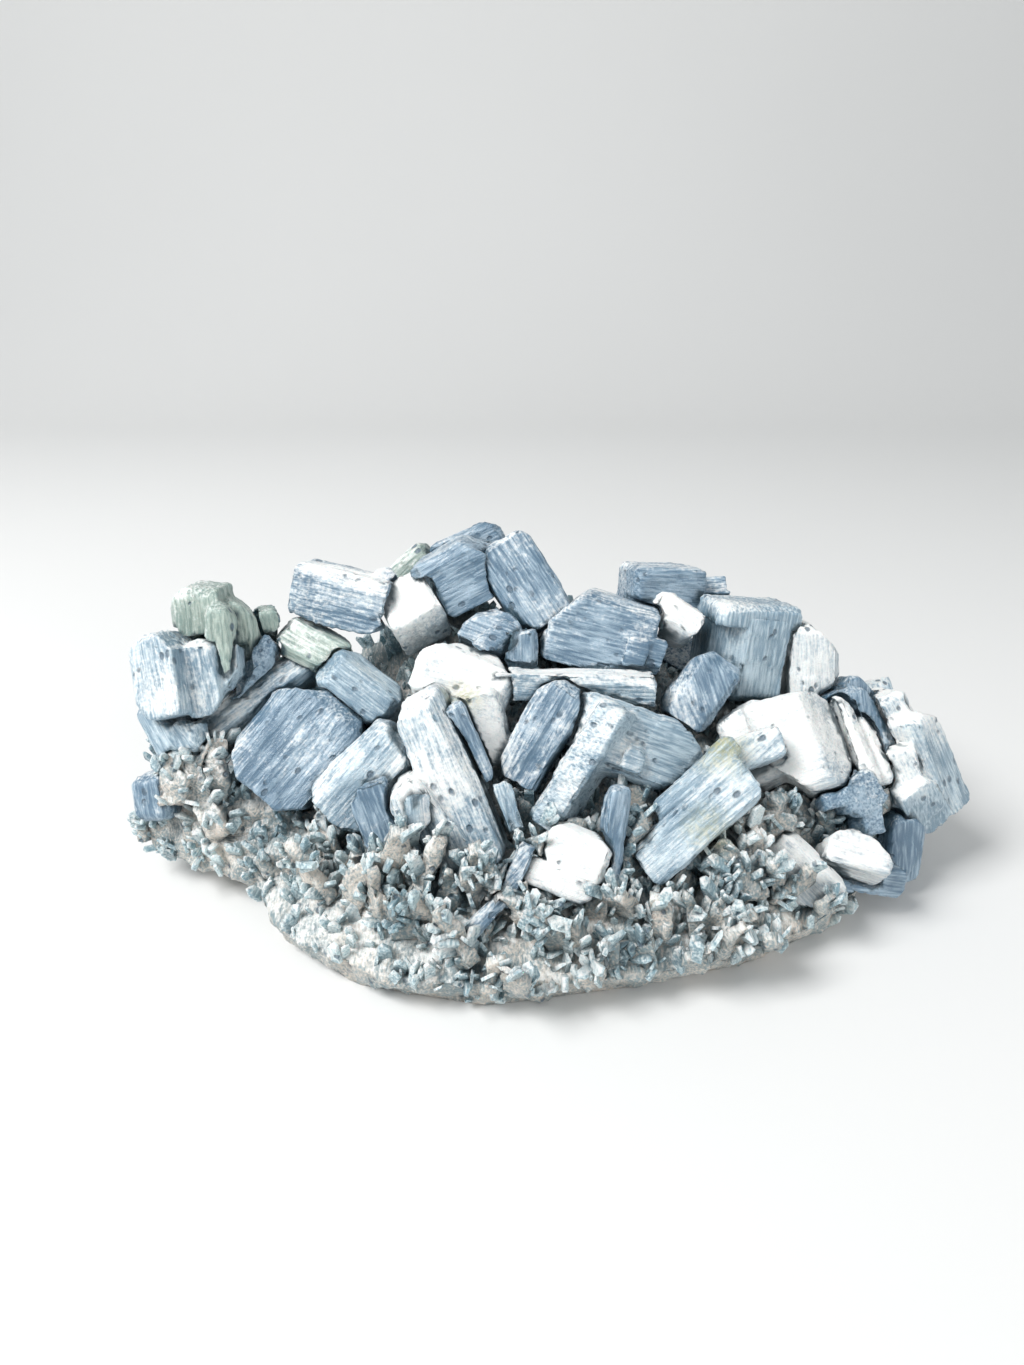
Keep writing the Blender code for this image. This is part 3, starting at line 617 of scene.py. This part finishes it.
@dataclass
class Druse:
    """The small blades that cover the crust. A pattern blade is one unit long before it is set."""

    around: Neighbourhood
    count: int = 4200
    patterns: int = 7
    seed: int = 11
    length_mm: tuple[float, float] = (1.6, 4.6)
    width: tuple[float, float] = (0.35, 0.6)
    thickness: tuple[float, float] = (0.14, 0.24)
    rooted: float = 0.3
    tip_height: tuple[float, float] = (0.66, 0.8)
    tip_side: tuple[float, float] = (0.5, 1.0)
    tip_rise: tuple[float, float] = (0.6, 1.0)
    chisel_height: float = 0.72
    chisel_rise: float = 0.5
    lowest_facing: float = -0.35
    floor_gap_mm: float = 1.5
    outward: float = 0.8
    upward: float = 0.75
    scatter: float = 0.4
    least_rise: float = 0.12
    rime: float = 0.1

    def blade(self, rng: random.Random) -> bpy.types.Mesh:
        """Makes a small tablet with a chisel tip, standing on the origin.

        Args:
            rng: what its proportions are drawn from.

        Returns:
            Its mesh.
        """
        made = bmesh.new()
        bmesh.ops.create_cube(made, size=1.0)
        bmesh.ops.translate(made, verts=made.verts, vec=(0.0, 0.0, self.rooted))
        size = (rng.uniform(*self.width), rng.uniform(*self.thickness), 1.0)
        bmesh.ops.scale(made, verts=made.verts, vec=size)
        for side in (-1.0, 1.0):
            lean = Vector((side * rng.uniform(*self.tip_side), 0.0, rng.uniform(*self.tip_rise)))
            self.cut(made, rng.uniform(*self.tip_height), lean)
        self.cut(made, self.chisel_height, Vector((0.0, rng.choice((-1.0, 1.0)), self.chisel_rise)))
        bmesh.ops.recalc_face_normals(made, faces=made.faces)
        mesh = bpy.data.meshes.new("blade_pattern")
        made.to_mesh(mesh)
        made.free()
        return mesh

    def cut(self, made: bmesh.types.BMesh, height: float, lean: Vector) -> None:
        """Cuts a tip off by a plane, and closes the face.

        Args:
            made: the blade.
            height: where the plane crosses the blade's axis.
            lean: the direction that the plane faces.
        """
        everything = made.verts[:] + made.edges[:] + made.faces[:]
        found = bmesh.ops.bisect_plane(
            made, geom=everything, dist=1e-5, plane_co=(0.0, 0.0, height), plane_no=lean, clear_outer=True
        )
        edges = [item for item in found["geom_cut"] if isinstance(item, bmesh.types.BMEdge)]
        if edges:
            bmesh.ops.edgeloop_fill(made, edges=edges)

    def places(self, rng: random.Random) -> list[Matrix]:
        """Spreads the blades over the open faces of the crust, pointing up and out.

        Args:
            rng: what the places are drawn from.

        Returns:
            Each blade's place, turn and size.
        """
        ground = bmesh.new()
        ground.from_mesh(self.around.nodes[MATRIX_NODE].data)
        bmesh.ops.triangulate(ground, faces=ground.faces)
        faces = [f for f in ground.faces if f.normal.z > self.lowest_facing]
        weights = [f.calc_area() for f in faces]
        made = []
        for face in rng.choices(faces, weights, k=self.count):
            one, two, three = (vert.co for vert in face.verts)
            part, other = sorted((rng.random(), rng.random()))
            at = one * part + two * (other - part) + three * (1.0 - other)
            if at.z < self.floor_gap_mm * MM:
                continue
            aim = face.normal * self.outward + Vector((0.0, 0.0, self.upward))
            aim += Vector([rng.gauss(0.0, self.scatter) for _ in range(3)])
            aim.z = max(aim.z, self.least_rise)
            size = rng.uniform(*self.length_mm) * MM
            turned = aim.to_track_quat("Z", "Y").to_matrix().to_4x4()
            spin = Matrix.Rotation(rng.uniform(0.0, math.pi), 4, "Z")
            made.append(Matrix.Translation(at) @ turned @ spin @ Matrix.Scale(size, 4))
        ground.free()
        return made

    def build(self, material: bpy.types.Material) -> bpy.types.Object:
        """Sets a pattern blade at each place.

        Args:
            material: the blades' finish.

        Returns:
            All the blades as one piece.
        """
        rng = random.Random(self.seed)
        patterns = [self.blade(rng) for _ in range(self.patterns)]
        skin = Skin(self.around)
        for place in self.places(rng):
            blade = rng.choice(patterns).copy()
            blade.transform(place)
            skin.mesh.from_mesh(blade)
            bpy.data.meshes.remove(blade)
        skin.paint(Matrix.Identity(3), self.rime, set())
        return skin.finished("druse", material, smooth=False)

    def dress(self, piece: bpy.types.Object) -> None:
        """Ties the piece to the frame's body."""
        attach(piece, BODY)


@dataclass(frozen=True)
class SoftLight:
    """A square studio light that faces the specimen. Its place and size are in metres."""

    name: str
    place: Triple
    size: float
    power: float

    def build(self) -> None:
        """Adds the light to the scene."""
        data = bpy.data.lights.new(self.name, "AREA")
        data.size, data.energy = self.size, self.power
        light = bpy.data.objects.new(self.name, data)
        light.location = self.place
        light.rotation_euler = (-Vector(self.place)).to_track_quat("-Z", "Y").to_euler()
        bpy.context.scene.collection.objects.link(light)


@dataclass
class Studio:
    """The floor with its backdrop, the lights and the camera, in metres unless a name says mm."""

    camera_mm: Triple = (-7.2, -155.0, 108.0)
    pitch: float = math.radians(25.06)
    lens_mm: float = 25.0
    sensor_mm: float = 36.0
    nearest: float = 0.005
    half_width: float = 1.6
    floor_front: float = -1.2
    cove_start: float = 0.45
    cove_radius: float = 0.3
    cove_steps: int = 16
    wall_height: float = 1.5
    sky: Colour = (0.93, 0.97, 1.0, 1.0)
    sky_strength: float = 0.45
    lights: tuple[SoftLight, ...] = (
        SoftLight("key_light", (-0.45, -0.25, 0.62), 0.35, 6.5),
        SoftLight("fill_light", (0.5, -0.5, 0.3), 0.6, 1.6),
    )

    def build_sweep(self) -> None:
        """The floor, curving up into a backdrop."""
        made = bmesh.new()
        left = made.verts.new((-self.half_width, self.floor_front, 0.0))
        right = made.verts.new((self.half_width, self.floor_front, 0.0))
        strip = [made.edges.new((right, left))]
        strip = self.pulled(made, strip, (0.0, self.cove_start - self.floor_front, 0.0))
        turned = bmesh.ops.spin(
            made, geom=strip, cent=(0.0, self.cove_start, self.cove_radius), axis=(1.0, 0.0, 0.0),
            angle=math.pi / 2, steps=self.cove_steps,
        )
        strip = [item for item in turned["geom_last"] if isinstance(item, bmesh.types.BMEdge)]
        self.pulled(made, strip, (0.0, 0.0, self.wall_height))
        for face in made.faces:
            face.smooth = True
        data = bpy.data.meshes.new("floor")
        made.to_mesh(data)
        made.free()
        data.materials.append(StudioFinish().material())
        floor = bpy.data.objects.new("floor", data)
        bpy.context.scene.collection.objects.link(floor)

    def pulled(self, made: bmesh.types.BMesh, strip: list[bmesh.types.BMEdge], by: Triple) -> list:
        """Extrudes edges.

        Args:
            made: the mesh that they belong to.
            strip: the edges.
            by: how far they are pulled.

        Returns:
            The new edges.
        """
        new = bmesh.ops.extrude_edge_only(made, edges=strip)["geom"]
        bmesh.ops.translate(made, verts=[v for v in new if isinstance(v, bmesh.types.BMVert)], vec=by)
        return [item for item in new if isinstance(item, bmesh.types.BMEdge)]

    def build_lights(self) -> None:
        """A soft key from the upper left, a weak one from the right and a pale sky."""
        for light in self.lights:
            light.build()
        world = bpy.data.worlds.new("pale_sky")
        world.use_nodes = True
        background = world.node_tree.nodes["Background"]
        background.inputs["Color"].default_value = self.sky
        background.inputs["Strength"].default_value = self.sky_strength
        bpy.context.scene.world = world

    def build_camera(self) -> None:
        """The camera, where the photograph was taken from."""
        data = bpy.data.cameras.new("camera")
        data.lens, data.sensor_width, data.clip_start = self.lens_mm, self.sensor_mm, self.nearest
        camera = bpy.data.objects.new("camera", data)
        camera.location = Vector(self.camera_mm) * MM
        camera.rotation_euler = (math.pi / 2 - self.pitch, 0.0, 0.0)
        bpy.context.scene.collection.objects.link(camera)
        bpy.context.scene.camera = camera
        bpy.context.scene.view_settings.view_transform = "Standard"

    def build(self) -> None:
        """Builds the stage."""
        self.build_sweep()
        self.build_lights()
        self.build_camera()


def usual_look(node: str) -> CrystalLook:
    """The look of a crystal that LOOKS doesn't name: pale blue for about one in three, by its name."""
    return CrystalLook(PALE if sum(map(ord, node)) % 3 == 0 else STEEL)


def main() -> None:
    """Builds the specimen and its studio."""
    logging.basicConfig(level=logging.INFO, format="%(message)s")
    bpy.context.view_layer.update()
    around = Neighbourhood(frame["nodes"])
    crystal_materials = {habit: finish.material() for habit, finish in CRYSTAL_FINISHES.items()}
    parts = []
    for node in sorted(around.nodes):
        if node != MATRIX_NODE:
            look = LOOKS.get(node, usual_look(node))
            parts.append((Crystal(node, look, around), crystal_materials[look.habit]))
    parts.append((Crust(around), CRUST_FINISH.material()))
    parts.append((Druse(around), DRUSE_FINISH.material()))
    for part, material in parts:
        piece = part.build(material)
        part.dress(piece)
        LOG.info("%s: %d faces", piece.name, len(piece.data.polygons))
    Studio().build()


if __name__ == "__main__":
    main()
